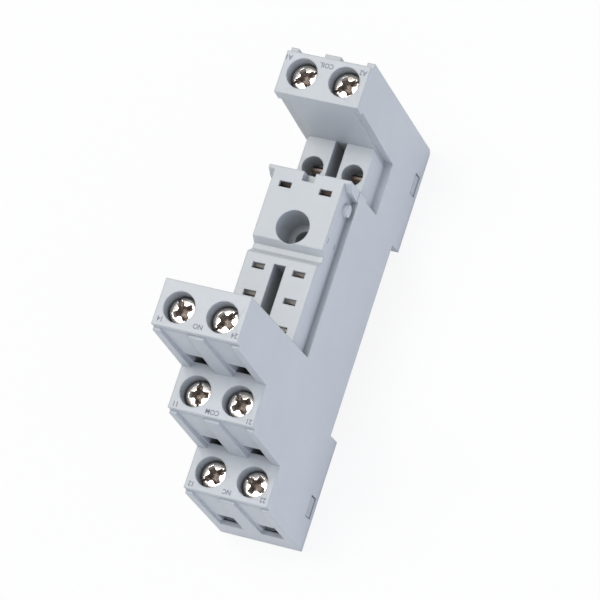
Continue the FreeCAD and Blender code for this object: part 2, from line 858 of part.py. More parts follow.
def make_strip(mark, side, corners, bends, tongue_low, tongue_high):
    """Bent strip drawn as its edge view, with a narrower tongue where the cage goes round it."""
    body = new_body(f"contact_{mark}")
    view = new_sketch(body, f"contact_{mark}_view", "YZ_Plane", PIN_X * side)
    draw_outline(view, corners)
    bar = pad(body, f"contact_{mark}_bar", view, size.strip_width, side="Symmetric")
    for name, corner, radius in bends:
        bar = round_edges(body, f"contact_{mark}_{name}_bend", bar, across_at(*corner), radius)
    body.Tip = bar
    tongue_half = size.tongue_width / 2
    for index, (low, high) in enumerate((
        (PIN_X * side - size.strip_width, SCREW_X * side - tongue_half),
        (SCREW_X * side + tongue_half, PIN_X * side + size.strip_width),
    )):
        plan = new_sketch(body, f"contact_{mark}_tongue_plan_{index}", "XY_Plane")
        draw_box(plan, low, high, tongue_low, tongue_high)
        pocket(body, f"contact_{mark}_tongue_{index}", plan, size.coil_height * 2, reverse=True)
    return body


def straight_strip(terminal, place):
    """Edge view of the low tier's strip: a straight run and a riser under the fork."""
    top = terminal.below(size.tongue_drop)
    foot = top - size.strip_thickness
    half = size.strip_thickness / 2
    tongue_end = terminal.y + size.tongue_reach
    corners = [
        (tongue_end, foot),
        (tongue_end, top),
        (along(place - half), top),
        (along(place - half), FORK_FOOT),
        *fork_outline(place, FORK_FOOT, FORK_TIP),
        (along(place + half), FORK_FOOT),
        (along(place + half), foot),
    ]
    return corners, []


def stepped_strip(terminal, run, place):
    """Edge view of a strip that drops from its tongue to a lower run and rises into its fork."""
    top = terminal.below(size.tongue_drop)
    thick = size.strip_thickness
    half = thick / 2
    leg = terminal.y - size.leg_reach
    tongue_end = terminal.y + size.tongue_reach
    corners = [
        (tongue_end, top - thick),
        (tongue_end, top),
        (leg, top),
        (leg, run),
        (along(place - half), run),
        (along(place - half), FORK_FOOT),
        *fork_outline(place, FORK_FOOT, FORK_TIP),
        (along(place + half), FORK_FOOT),
        (along(place + half), run - thick),
        (leg + thick, run - thick),
        (leg + thick, top - thick),
    ]
    bends = [
        ("outer", (leg, top), size.strip_bend + thick),
        ("inner", (leg + thick, top - thick), size.strip_bend),
    ]
    return corners, bends


def coil_strip():
    """Edge view of a coil strip: tongue, leg, run, and forks for the relay blade and the module pin."""
    top = COIL.below(size.tongue_drop)
    thick = size.strip_thickness
    half = thick / 2
    run = COIL_RUN
    leg = COIL.y + size.leg_reach
    pin = size.coil_pin_place
    module = MODULE_PLACE
    tongue_end = COIL.y - size.tongue_reach
    corners = [
        (along(pin - half), run - thick),
        (along(pin - half), FORK_FOOT),
        *fork_outline(pin, FORK_FOOT, FORK_TIP),
        (along(pin + half), FORK_FOOT),
        (along(pin + half), run),
        (along(module - half), run),
        (along(module - half), MODULE_FOOT),
        *fork_outline(module, MODULE_FOOT, MODULE_TIP),
        (along(module + half), MODULE_FOOT),
        (along(module + half), run),
        (leg, run),
        (leg, top),
        (tongue_end, top),
        (tongue_end, top - thick),
        (leg - thick, top - thick),
        (leg - thick, run - thick),
    ]
    bends = [
        ("outer", (leg, top), size.strip_bend + thick),
        ("inner", (leg - thick, top - thick), size.strip_bend),
    ]
    return corners, bends


def make_contacts():
    low, middle, high = TIERS
    views = {
        "low": straight_strip(low, BREAK_PLACE),
        "middle": stepped_strip(middle, MIDDLE_RUN, COMMON_PLACE),
        "high": stepped_strip(high, HIGH_RUN, MAKE_PLACE),
        "coil": coil_strip(),
    }
    reach = size.cage_depth / 2 + size.strip_gap
    for terminal in TERMINALS:
        corners, bends = views[terminal.name]
        for mark, side in zip(terminal.marks, (1, -1)):
            make_strip(mark, side, corners, bends, terminal.y - reach, terminal.y + reach)


# Rear base

def make_base():
    body = new_body("rear_base")
    inner = HALF_WIDTH - size.wall - size.base_gap
    front = along(size.wall + size.base_gap)
    rear = along(size.body_length - size.wall - size.base_gap)
    plan = new_sketch(body, "base_plan", "XY_Plane", size.rail_depth)
    draw_box(plan, -inner, inner, rear, front)
    pad(body, "base_plate", plan, size.base_thickness)

    plan = new_sketch(body, "base_flange_plan", "XY_Plane", size.rail_depth)
    flange_foot = size.latch_width / 2 + size.latch_gap
    draw_box(plan, flange_foot, inner, rear, along(RAIL_END + size.base_gap))
    draw_box(plan, inner - size.flange_width, inner, along(size.rail_start - size.base_gap), front)
    flanges = pad(body, "base_flanges", plan, size.rail_depth - size.base_gap, reverse=True)

    view = new_sketch(body, "latch_guide_view", "YZ_Plane", flange_foot)
    draw_box(view, rear - size.wall, along(RAIL_END) + size.wall,
             size.latch_guide_low - size.latch_gap, size.latch_guide_high + size.latch_gap)
    guide = pocket(body, "latch_guide", view, size.latch_guide_width, reverse=True)

    catch_base = inner - size.base_gap
    catches = []
    for name, place in zip(("front", "rear"), CATCH_PLACES):
        view = new_sketch(body, f"{name}_catch_view", "XZ_Plane", -along(place))
        draw_outline(view, [
            (catch_base, size.catch_low),
            (inner + size.catch_reach, size.catch_low),
            (inner + size.catch_reach, size.catch_high - size.catch_lead),
            (inner + size.catch_reach - size.catch_lead, size.catch_high),
            (catch_base, size.catch_high),
        ])
        catches.append(pad(body, f"{name}_catch", view, size.catch_length, side="Symmetric"))

    plan = new_sketch(body, "post_plan", "XY_Plane", BASE_TOP)
    half = size.post_length / 2
    half_strip = size.strip_width / 2 - size.strip_gap
    for index in range(2):
        y = along(size.post_places + size.post_pitch * index)
        draw_box(plan, PIN_X - half_strip, PIN_X + half_strip, y - half, y + half)
    top = TIERS[0].below(TONGUE_FOOT)
    posts = pad(body, "strip_posts", plan, top - BASE_TOP)
    mirror_sides(body, "base_sides", [flanges, guide, *catches, posts])

    view = new_sketch(body, "hook_view", "YZ_Plane")
    hook_back = along(size.rail_start - size.hook_length)
    hook_face = along(size.rail_start - size.base_gap)
    hook_tip = along(size.rail_start + size.hook_reach)
    draw_outline(view, [
        (hook_back, size.rail_depth + size.base_thickness / 2),
        (hook_back, size.base_gap),
        (hook_face, size.base_gap),
        (hook_tip, size.hook_low),
        (hook_tip, size.hook_high),
        (hook_face, size.hook_high),
        (hook_face, size.rail_depth + size.base_thickness / 2),
    ])
    pad(body, "rail_hook", view, size.latch_width, side="Symmetric")

    peg_root = size.rail_depth + size.base_thickness / 2
    plan = new_sketch(body, "spring_peg_plan", "XY_Plane", peg_root)
    peg_start = SPRING_START + size.spring_length
    half = size.spring_window_width / 2 - size.latch_gap
    draw_box(plan, -half, half, along(peg_start + size.spring_peg), along(peg_start))
    pad(body, "spring_peg", plan, peg_root - size.latch_low, reverse=True)

    plan = new_sketch(body, "base_fixing_plan", "XY_Plane", BASE_TOP)
    draw_circle(plan, (ZERO, along(size.fixing_place)), size.fixing_bore)
    pocket(body, "base_fixing_hole", plan, size.base_thickness * 2)
    return body


# Rail latch

def make_latch():
    body = new_body("rail_latch")
    top = size.rail_depth - size.latch_gap
    half = size.latch_width / 2
    nose_tip = along(RAIL_END - size.latch_nose_reach)
    face = along(RAIL_END + size.latch_gap)
    view = new_sketch(body, "latch_view", "YZ_Plane")
    draw_outline(view, [
        (nose_tip - size.latch_nose_lead, size.latch_low),
        (nose_tip, size.latch_low + size.latch_nose_lead),
        (nose_tip, size.latch_nose_high),
        (face, size.latch_nose_high),
        (face, top),
        (along(LATCH_END), top),
        (along(LATCH_END), size.latch_low),
    ])
    pad(body, "latch_plate", view, size.latch_width, side="Symmetric")
    view = new_sketch(body, "latch_rib_view", "YZ_Plane")
    draw_box(view, along(LATCH_END), face - size.latch_travel,
             size.latch_guide_low, size.latch_guide_high)
    rib_width = size.latch_width + (size.latch_guide_width - size.latch_gap) * 2
    pad(body, "latch_ribs", view, rib_width, side="Symmetric")
    plan = new_sketch(body, "tab_plan", "XY_Plane", size.latch_low)
    half_tab = size.tab_width / 2
    tab_end = along(size.body_length + size.tab_reach)
    draw_box(plan, -half_tab, half_tab, tab_end, along(LATCH_END - size.wall))
    pad(body, "latch_tab", plan, size.tab_height)
    plan = new_sketch(body, "tab_slot_plan", "XY_Plane", size.latch_low)
    half_slot = size.tab_slot_width / 2
    slot_end = tab_end + size.tab_slot_rim
    draw_box(plan, -half_slot, half_slot, slot_end, slot_end + size.tab_slot_length)
    pocket(body, "tab_slot", plan, size.tab_height * 2, reverse=True)
    plan = new_sketch(body, "spring_window_plan", "XY_Plane", size.latch_low)
    half_window = size.spring_window_width / 2
    window_end = SPRING_START + size.spring_length + size.spring_peg + size.latch_gap
    draw_box(plan, -half_window, half_window, along(window_end), along(SPRING_START))
    pocket(body, "spring_window", plan, size.rail_depth, reverse=True)
    return body


# Latch spring

def make_spring():
    """Compression spring lying along Y in the latch's window."""
    start = SPRING_START + size.spring_wire / 2
    height = size.spring_length - size.spring_wire
    radius = (size.spring_diameter - size.spring_wire) / 2
    pitch = height / DRIVING["spring_turns"]
    helix = doc.addObject("Part::Helix", "spring_line")
    helix.Pitch = pitch.value
    helix.Height = height.value
    helix.Radius = radius.value
    helix.setExpression("Pitch", f"{height.formula} / Sizes.spring_turns")
    helix.setExpression("Height", height.formula)
    helix.setExpression("Radius", radius.formula)
    section = doc.addObject("Part::RegularPolygon", "spring_section")
    section.Polygon = 4
    section.Circumradius = size.spring_wire.value / 2
    section.setExpression("Circumradius", (size.spring_wire / 2).formula)
    upright = FreeCAD.Rotation(Vector(1, 0, 0), 90)
    section.Placement = FreeCAD.Placement(Vector(radius.value, 0, 0), upright)
    section.setExpression("Placement.Base.x", radius.formula)
    spring = doc.addObject("Part::Sweep", "latch_spring")
    spring.Sections = [section]
    spring.Spine = (helix, [])
    spring.Solid = True
    spring.Frenet = True
    middle = (size.latch_low + size.rail_depth - size.latch_gap) / 2
    y = along(start)
    spring.Placement = FreeCAD.Placement(Vector(0, y.value, middle.value), upright)
    spring.setExpression("Placement.Base.y", y.formula)
    spring.setExpression("Placement.Base.z", middle.formula)
    return spring


# How far each screw happens to be turned, in degrees
SCREW_TURNS = {
    "12": 25, "22": 135, "11": 95, "21": 60, "14": 75, "24": 140, "a1": 20, "a2": 18,
}

make_housing()
make_base()
make_latch()
make_spring()
for terminal in TERMINALS:
    for mark, side in zip(terminal.marks, (1, -1)):
        make_screw(terminal, mark, side, SCREW_TURNS[mark])
        make_cage(terminal, mark, side)
make_contacts()
doc.recompute()

NODES = ["housing", "rear_base", "rail_latch", "latch_spring"]
for kind in ("screw", "clamp", "contact"):
    NODES += [f"{kind}_{mark}" for terminal in TERMINALS for mark in terminal.marks]

for item in doc.Objects:
    if "Invalid" in item.State or "Error" in item.State:
        raise RuntimeError(f"{item.Name} failed: {item.State}")

os.makedirs("parts", exist_ok=True)
for name in NODES:
    piece = doc.getObject(name)
    shape = piece.Shape
    if shape.isNull() or not shape.isValid() or len(shape.Solids) != 1:
        raise RuntimeError(f"{name} is not one valid solid")
    piece.Label = name
    shape.exportStep(f"parts/{name}.step")
    print(f"{name:14s} {shape.Volume:9.2f} mm3  {len(shape.Faces):4d} faces")
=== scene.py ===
# Relay socket dressed for rendering: moulded grey housing, nickelled terminal screws, clamp cages,
# contact strips, rail latch and its spring. Metres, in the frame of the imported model.
import math

import bmesh
import bpy
from mathutils import Matrix, Vector


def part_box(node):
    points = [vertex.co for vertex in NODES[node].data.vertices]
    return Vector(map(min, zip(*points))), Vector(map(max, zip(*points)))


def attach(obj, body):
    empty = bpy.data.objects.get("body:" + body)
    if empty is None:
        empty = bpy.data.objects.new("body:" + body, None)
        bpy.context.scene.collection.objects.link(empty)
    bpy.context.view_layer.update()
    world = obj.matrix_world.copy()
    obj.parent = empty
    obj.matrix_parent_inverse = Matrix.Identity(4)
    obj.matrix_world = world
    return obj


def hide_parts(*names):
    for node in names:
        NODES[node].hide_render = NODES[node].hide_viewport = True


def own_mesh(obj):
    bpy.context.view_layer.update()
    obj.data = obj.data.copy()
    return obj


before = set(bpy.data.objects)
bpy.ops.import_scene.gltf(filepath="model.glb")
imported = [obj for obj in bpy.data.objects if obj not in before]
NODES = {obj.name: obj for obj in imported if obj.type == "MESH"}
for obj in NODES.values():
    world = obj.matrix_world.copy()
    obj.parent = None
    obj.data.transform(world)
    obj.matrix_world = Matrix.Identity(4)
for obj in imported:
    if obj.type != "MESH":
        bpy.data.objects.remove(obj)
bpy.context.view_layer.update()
MM = 0.001
FULL_TURN = 2 * math.pi
MARKS = ("12", "22", "11", "21", "14", "24", "a1", "a2")
COIL_MARKS = ("a1", "a2")


# Node tree helpers

# Sockets of the mix node in colour mode: factor, first and second colour, and the result
MIX_INPUTS = (0, 6, 7)
MIX_OUTPUT = 2


class Shader:
    """Short way to build a node tree: every call adds one node and fills its inputs."""

    def __init__(self, tree):
        self.tree = tree
        tree.nodes.clear()

    def put(self, socket, value):
        """Links an output to an input socket, or sets a plain value on the socket."""
        if isinstance(value, bpy.types.NodeSocket):
            self.tree.links.new(value, socket)
        else:
            socket.default_value = value

    def node(self, kind, inputs=None, **settings):
        """Adds a node; its inputs go by name or by place in its list, and the rest are its settings."""
        node = self.tree.nodes.new(kind)
        for name, value in settings.items():
            setattr(node, name, value)
        for name, value in (inputs or {}).items():
            self.put(node.inputs[name], value)
        return node

    def coords(self):
        return self.node("ShaderNodeTexCoord").outputs["Object"]

    def noise(self, scale, detail=2.0, roughness=0.5, vector=None):
        inputs = {"Vector": vector or self.coords(), "Scale": scale, "Detail": detail, "Roughness": roughness}
        return self.node("ShaderNodeTexNoise", inputs).outputs["Fac"]

    def span(self, value, low, high, start=0.0, end=1.0):
        """Turns start to end into low to high, and holds the value beyond either end."""
        inputs = {"Value": value, "From Min": start, "From Max": end, "To Min": low, "To Max": high}
        return self.node("ShaderNodeMapRange", inputs).outputs["Result"]

    def math(self, operation, first, second=0.0):
        return self.node("ShaderNodeMath", {0: first, 1: second}, operation=operation).outputs["Value"]

    def dot(self, first, second):
        inputs = {0: first, 1: second}
        return self.node("ShaderNodeVectorMath", inputs, operation="DOT_PRODUCT").outputs["Value"]

    def blend(self, factor, first, second):
        """Mixes two colours, each a socket or three numbers."""
        node = self.node("ShaderNodeMix", data_type="RGBA")
        for index, value in zip(MIX_INPUTS, (factor, first, second)):
            self.put(node.inputs[index], (*value, 1.0) if isinstance(value, tuple) else value)
        return node.outputs[MIX_OUTPUT]

    def mix_shaders(self, factor, first, second):
        return self.node("ShaderNodeMixShader", {0: factor, 1: first, 2: second}).outputs["Shader"]

    def bump(self, height, strength, distance, normal=None):
        inputs = {"Height": height, "Strength": strength, "Distance": distance}
        if normal is not None:
            inputs["Normal"] = normal
        return self.node("ShaderNodeBump", inputs).outputs["Normal"]

    def shade(self, distance, darkest):
        """How open a place is, for painting shade into a colour: 1 on free faces, down to the darkest value
        in grooves and holes.
        """
        node = self.node("ShaderNodeAmbientOcclusion", {"Distance": distance}, samples=8)
        return self.span(node.outputs["AO"], darkest, 1.0, start=0.14, end=0.66)

    def light_path(self):
        return self.node("ShaderNodeLightPath").outputs

    def background_rays(self, path):
        """1 for the rays of a light path that show the background, straight or in metal and glass."""
        through = self.math("MAXIMUM", path["Is Glossy Ray"], path["Is Transmission Ray"])
        return self.math("MAXIMUM", path["Is Camera Ray"], through)

    def surface(self, inputs):
        self.finish(self.node("ShaderNodeBsdfPrincipled", inputs).outputs["BSDF"])

    def finish(self, shader, kind="Material"):
        output = self.node(f"ShaderNodeOutput{kind}")
        self.tree.links.new(shader, output.inputs["Surface"])


def new_material(name):
    material = bpy.data.materials.new(name)
    material.use_nodes = True
    return material, Shader(material.node_tree)


def scaled(numbers, factor):
    return tuple(number * factor for number in numbers)


# Materials

# Plastic: how far the shading and the painted highlight round an edge, how far the painted shade looks for
# grooves and holes, and the grain's height
EDGE_SHADING = 0.34 * MM
SHADE_PAINT_REACH = 4.2 * MM
GRAIN_HEIGHT = 0.012 * MM


def moulded_plastic(name, colour, grain=0.5, gloss=0.42):
    """Spark-eroded moulded plastic: faint flow mottling, fine grain, a painted highlight that makes edges a
    little paler, and painted shade in grooves and holes.
    """
    material, s = new_material(name)
    flow = s.noise(70, detail=3.0, roughness=0.6)
    speck = s.noise(2600)
    tone = s.blend(s.span(flow, 0, 1, start=0.3, end=0.7), scaled(colour, 0.97), scaled(colour, 1.025))
    tone = s.blend(s.span(speck, 0, 0.35, start=0.35, end=0.75), tone, scaled(colour, 0.93))
    rounded = s.node("ShaderNodeBevel", {"Radius": EDGE_SHADING}, samples=6).outputs["Normal"]
    plain = s.node("ShaderNodeNewGeometry").outputs["Normal"]
    # Painted highlight: along rounded edges the colour is blended up to 45 percent towards a tone 1.09 times
    # paler.
    painted_edge_highlight = s.span(s.dot(rounded, plain), 0.45, 0.0, start=0.80, end=1.0)
    tone = s.blend(painted_edge_highlight, tone, scaled(colour, 1.09))
    # Painted shade: grooves and holes are darkened down to 0.68 of the colour, the more the closer they are
    # shut in.
    tone = s.blend(s.shade(SHADE_PAINT_REACH, 0.0), scaled(colour, 0.68), tone)
    fine = s.noise(5200, detail=3.0, roughness=0.6)
    s.surface({
        "Base Color": tone,
        "Roughness": s.span(s.noise(900), gloss, gloss + 0.14),
        "Normal": s.bump(fine, grain, GRAIN_HEIGHT, rounded),
        "IOR": 1.52,
        "Specular IOR Level": 0.42,
    })
    return material


# Rolling marks: drawn out along Y, with their strength and height
ROLLING_STRETCH = (1.0, 0.12, 1.0)
ROLLING_STRENGTH = 0.25
ROLLING_HEIGHT = 0.006 * MM


def plated_metal(name, colour, dull, rough=(0.2, 0.36), streaks=900, metallic=1.0):
    """Plated sheet or wire: cloudy plating, rolling streaks and a few dull spots."""
    material, s = new_material(name)
    stretch = s.node("ShaderNodeMapping", {"Vector": s.coords(), "Scale": ROLLING_STRETCH}).outputs["Vector"]
    lines = s.noise(streaks, detail=4.0, roughness=0.65, vector=stretch)
    cloud = s.noise(260, detail=3.0)
    tone = s.blend(s.span(cloud, 0, 1, start=0.35, end=0.7), colour, dull)
    tone = s.blend(s.span(lines, 0, 0.3, start=0.45, end=0.7), tone, scaled(dull, 0.8))
    s.surface({
        "Base Color": tone,
        "Metallic": metallic,
        "Roughness": s.span(lines, *rough, start=0.3, end=0.7),
        "Normal": s.bump(lines, ROLLING_STRENGTH, ROLLING_HEIGHT),
    })
    return material


NICKEL_BRIGHT = (0.80, 0.765, 0.725)
NICKEL_DULL = (0.60, 0.555, 0.51)
FILM_BROWN = (0.115, 0.075, 0.055)
RINGS_PER_METRE = 9000


def screw_metal(name):
    """Nickelled screw: turning rings on the head and a brownish film in the recess, by the screw's origin."""
    material, s = new_material(name)
    place = s.node("ShaderNodeSeparateXYZ", {"Vector": s.coords()}).outputs
    radius = s.math("SQRT", s.math("ADD", s.math("POWER", place["X"], 2), s.math("POWER", place["Y"], 2)))
    along = {"W": s.math("MULTIPLY", radius, RINGS_PER_METRE), "Scale": 1.0, "Detail": 3.0}
    ring = s.node("ShaderNodeTexNoise", along, noise_dimensions="1D").outputs["Fac"]
    cloud = s.noise(700, detail=3.0)
    below = s.span(place["Z"], 1.0, 0.0, start=-0.6 * MM, end=-0.2 * MM)
    within = s.span(radius, 1.0, 0.0, start=2.24 * MM, end=2.32 * MM)
    patchy = s.span(s.noise(2400, detail=4.0, roughness=0.7), 0.65, 1.0, start=0.3, end=0.6)
    film = s.math("MULTIPLY", s.math("MULTIPLY", below, within), patchy)
    tone = s.blend(s.span(cloud, 0, 1, start=0.35, end=0.7), NICKEL_BRIGHT, NICKEL_DULL)
    uneven = s.bump(s.noise(520), strength=0.5, distance=0.05 * MM)
    turned = s.span(ring, 0.17, 0.34, start=0.3, end=0.7)
    s.surface({
        "Base Color": s.blend(film, tone, FILM_BROWN),
        "Metallic": s.span(film, 1.0, 0.25),
        "Roughness": s.math("ADD", turned, s.math("MULTIPLY", film, 0.3)),
        "Normal": s.bump(ring, strength=0.35, distance=0.01 * MM, normal=uneven),
    })
    return material


INK_DARK = (0.185, 0.195, 0.235)
INK_PALE = (0.30, 0.31, 0.35)


def print_ink(name):
    """Laser-marked grey print, a little uneven."""
    material, s = new_material(name)
    cloud = s.noise(4200, detail=3.0)
    s.surface({
        "Base Color": s.blend(s.span(cloud, 0, 1, start=0.3, end=0.7), INK_DARK, INK_PALE),
        "Roughness": s.span(s.noise(1500), 0.5, 0.7),
    })
    return material


HOUSING_GREY = (0.555, 0.580, 0.590)
BASE_GREY = (0.47, 0.495, 0.51)
LATCH_GREY = (0.055, 0.058, 0.064)
DULL_ROLLED = (0.42, 0.58)
housing_plastic = moulded_plastic("housing_grey", HOUSING_GREY)
base_plastic = moulded_plastic("base_grey", BASE_GREY)
latch_plastic = moulded_plastic("latch_dark", LATCH_GREY, grain=0.7, gloss=0.36)
nickel = screw_metal("screw_nickel")
cage_zinc = plated_metal("cage_zinc", (0.72, 0.73, 0.75), (0.58, 0.59, 0.60))
strip_alloy = plated_metal("strip_alloy", (0.97, 0.93, 0.88), (0.88, 0.82, 0.75), DULL_ROLLED, metallic=0.15)
coil_alloy = plated_metal("coil_alloy", (0.56, 0.47, 0.40), (0.40, 0.31, 0.25), DULL_ROLLED, metallic=0.5)
spring_steel = plated_metal("spring_steel", (0.68, 0.69, 0.70), (0.50, 0.50, 0.51), streaks=2400)
ink = print_ink("mark_grey")


def paint(mesh, material):
    """Gives a mesh this material alone."""
    mesh.materials.clear()
    mesh.materials.append(material)


# Mesh helpers

def add_object(name, data):
    item = bpy.data.objects.new(name, data)
    bpy.context.scene.collection.objects.link(item)
    return item


def add_mesh(name, mesh, material):
    paint(mesh, material)
    return add_object(name, mesh)


def evaluated(item):
    """The item's mesh with its modifiers applied, as a new mesh."""
    graph = bpy.context.evaluated_depsgraph_get()
    return bpy.data.meshes.new_from_object(item.evaluated_get(graph), depsgraph=graph)


def curve_mesh(name, curve):
    """The curve or text as a new mesh."""
    shape = add_object(name, curve)
    mesh = evaluated(shape)
    bpy.data.objects.remove(shape)
    return mesh


def mesh_from(build):
    """New mesh filled by a function that draws into a bmesh."""
    drawing = bmesh.new()
    build(drawing)
    bmesh.ops.recalc_face_normals(drawing, faces=drawing.faces)
    mesh = bpy.data.meshes.new("drawn")
    drawing.to_mesh(mesh)
    drawing.free()
    return mesh


def join_rings(drawing, upper, lower):
    """Band of faces between two closed rings with as many points each."""
    count = len(upper)
    for step in range(count):
        after = (step + 1) % count
        drawing.faces.new((upper[step], lower[step], lower[after], upper[after]))


def lathe(drawing, profile, steps):
    """Surface of revolution about Z through (radius, height) points; a radius of 0 closes the end."""
    rings = []
    for radius, height in profile:
        if radius == 0:
            rings.append([drawing.verts.new((0, 0, height))])
            continue
        ring = []
        for step in range(steps):
            angle = FULL_TURN * step / steps
            ring.append(drawing.verts.new((radius * math.cos(angle), radius * math.sin(angle), height)))
        rings.append(ring)
    for upper, lower in zip(rings, rings[1:]):
        if len(upper) == len(lower):
            join_rings(drawing, upper, lower)
            continue
        for step in range(steps):
            after = (step + 1) % steps
            if len(upper) == 1:
                drawing.faces.new((upper[0], lower[step], lower[after]))
            else:
                drawing.faces.new((upper[step], lower[0], upper[after]))


def prism(drawing, top, bottom, high, low):
    """Tapered block between two half-size rectangles at two heights."""
    corners = ((1, 1), (-1, 1), (-1, -1), (1, -1))
    upper = [drawing.verts.new((x * top[0], y * top[1], high)) for x, y in corners]
    lower = [drawing.verts.new((x * bottom[0], y * bottom[1], low)) for x, y in corners]
    drawing.faces.new(upper)
    drawing.faces.new(lower[::-1])
    join_rings(drawing, upper, lower)


def add_rounding(item, width, angle):
    """Modifier that rounds the edges sharper than an angle in degrees."""
    rounding = item.modifiers.new("rounding", "BEVEL")
    rounding.width = width
    rounding.segments = 2
    rounding.limit_method = "ANGLE"
    rounding.angle_limit = math.radians(angle)
    return rounding


def smooth(mesh, angle):
    """Smooth shading, broken at edges sharper than an angle in degrees."""
    mesh.shade_smooth()
    mesh.set_sharp_from_angle(angle=math.radians(angle))


# Housing, rear base and rail latch with softly rounded edges

# Points of the solid nearer than this are one, and faces within this angle in degrees are one plane
SAME_POINT = 0.002 * MM
SAME_PLANE = 0.6


def softened(node, material, width):
    """Copy of a CAD node whose sharp edges are rounded as a moulding's are; it stands for the node."""
    source = NODES[node].data.copy()
    drawing = bmesh.new()
    drawing.from_mesh(source)
    bmesh.ops.remove_doubles(drawing, verts=drawing.verts, dist=SAME_POINT)
    bmesh.ops.dissolve_limit(drawing, angle_limit=math.radians(SAME_PLANE), verts=drawing.verts,
                             edges=drawing.edges)
    many_sided = [face for face in drawing.faces if len(face.verts) > 4]
    bmesh.ops.triangulate(drawing, faces=many_sided, ngon_method="BEAUTY")
    drawing.to_mesh(source)
    drawing.free()
    item = add_mesh(f"{node}_moulding", source, material)
    rounding = add_rounding(item, width, angle=35)
    rounding.use_clamp_overlap = True
    rounding.miter_outer = "MITER_ARC"
    smooth(item.data, angle=34)
    shading = item.modifiers.new("shading", "WEIGHTED_NORMAL")
    shading.mode = "FACE_AREA"
    shading.weight = 100
    shading.keep_sharp = True
    mesh = evaluated(item)
    item.modifiers.clear()
    item.data = mesh
    paint(mesh, material)
    return item


# Terminal screws

# The head's outline, top to underside, as radius and height in millimetres
HEAD_PROFILE = (
    (0, 0), (0.6, -0.008), (1.2, -0.035), (1.7, -0.075), (2.1, -0.13), (2.26, -0.19), (2.35, -0.3),
    (2.38, -0.45), (2.38, -1.9), (2.28, -2.0), (1.2, -2.0), (0, -2.0),
)
HEAD_HEIGHT = 2.0 * MM
HEAD_STEPS = 72
# The recess's blocks in millimetres: half sizes at the top and at the bottom, and turn in degrees
RECESS_BLOCKS = (
    ((1.84, 0.58), (0.8, 0.38), 0),
    ((1.84, 0.58), (0.8, 0.38), 90),
    ((1.0, 1.0), (0.62, 0.62), 45),
)
RECESS_DEPTH = 1.45 * MM
SLOT_TOP = (2.5 * MM, 0.26 * MM)
SLOT_BOTTOM = (2.5 * MM, 0.23 * MM)
SLOT_DEPTH = 0.85 * MM
# The cutters reach this far above the head
CUTTER_RISE = 0.1 * MM
RIM_ROUNDING = 0.05 * MM
# The thread's pitch, and its radius at crest and root
THREAD_PITCH = 0.5 * MM
THREAD_OUTER = 1.44 * MM
THREAD_INNER = 1.2 * MM
# Points round the shank, their rows in one turn, and the rows over which the ridge fades out
THREAD_STEPS = 32
ROWS_PER_TURN = 6
POINT_ROWS = 8


def draw_head(drawing):
    """Pan head: nearly flat top, tightly rounded shoulder, flat underside."""
    lathe(drawing, [(radius * MM, height * MM) for radius, height in HEAD_PROFILE], HEAD_STEPS)


def draw_recess(drawing):
    """Cross recess: four tapered arms and the wider well between them."""
    for top, bottom, degrees in RECESS_BLOCKS:
        before = len(drawing.verts)
        prism(drawing, scaled(top, MM), scaled(bottom, MM), CUTTER_RISE, -RECESS_DEPTH)
        drawing.verts.ensure_lookup_table()
        turned = [drawing.verts[i] for i in range(before, len(drawing.verts))]
        bmesh.ops.rotate(drawing, verts=turned, cent=(0, 0, 0),
                         matrix=Matrix.Rotation(math.radians(degrees), 3, "Z"))


def draw_slot(drawing):
    prism(drawing, SLOT_TOP, SLOT_BOTTOM, CUTTER_RISE, -SLOT_DEPTH)


def draw_thread(drawing, top, bottom):
    """Helical ridge round the shank, fading out at the point."""
    rows = int((top - bottom) / THREAD_PITCH * ROWS_PER_TURN)
    grid = []
    for row in range(rows + 1):
        height = top + (bottom - top) * row / rows
        fade = min(1.0, (rows - row) / POINT_ROWS)
        ring = []
        for step in range(THREAD_STEPS):
            phase = (height / THREAD_PITCH + step / THREAD_STEPS) % 1.0
            ridge = 1 - abs(2 * phase - 1)
            radius = THREAD_INNER + (THREAD_OUTER - THREAD_INNER) * ridge * fade
            angle = FULL_TURN * step / THREAD_STEPS
            ring.append(drawing.verts.new((radius * math.cos(angle), radius * math.sin(angle), height)))
        grid.append(ring)
    for upper, lower in zip(grid, grid[1:]):
        join_rings(drawing, upper, lower)
    drawing.faces.new(grid[0])
    drawing.faces.new(grid[-1])


def carve(base, tools):
    """Cuts the tool meshes out of the base mesh."""
    item = add_mesh("carving", base, nickel)
    helpers = []
    for tool in tools:
        helper = add_mesh("tool", tool, nickel)
        cut = item.modifiers.new("cut", "BOOLEAN")
        cut.object = helper
        cut.operation = "DIFFERENCE"
        cut.solver = "EXACT"
        cut.use_self = True
        helpers.append(helper)
    mesh = evaluated(item)
    for helper in (item, *helpers):
        bpy.data.objects.remove(helper)
    return mesh


def screw_mesh(length):
    """Head with recess, slot and rounded rim, and the threaded shank under it."""
    carved = carve(mesh_from(draw_head), [mesh_from(draw_recess), mesh_from(draw_slot)])
    item = add_mesh("rim", carved, nickel)
    add_rounding(item, RIM_ROUNDING, angle=40)
    mesh = evaluated(item)
    bpy.data.objects.remove(item)
    drawing = bmesh.new()
    drawing.from_mesh(mesh)
    draw_thread(drawing, -HEAD_HEIGHT, -length)
    bmesh.ops.recalc_face_normals(drawing, faces=drawing.faces)
    drawing.to_mesh(mesh)
    drawing.free()
    smooth(mesh, angle=38)
    return mesh


# How far each screw is turned in the photograph, in degrees
SLOT_TURN = {"12": 39, "22": 154, "11": 101, "21": 128, "14": 125, "24": 54, "a1": 37, "a2": 36}


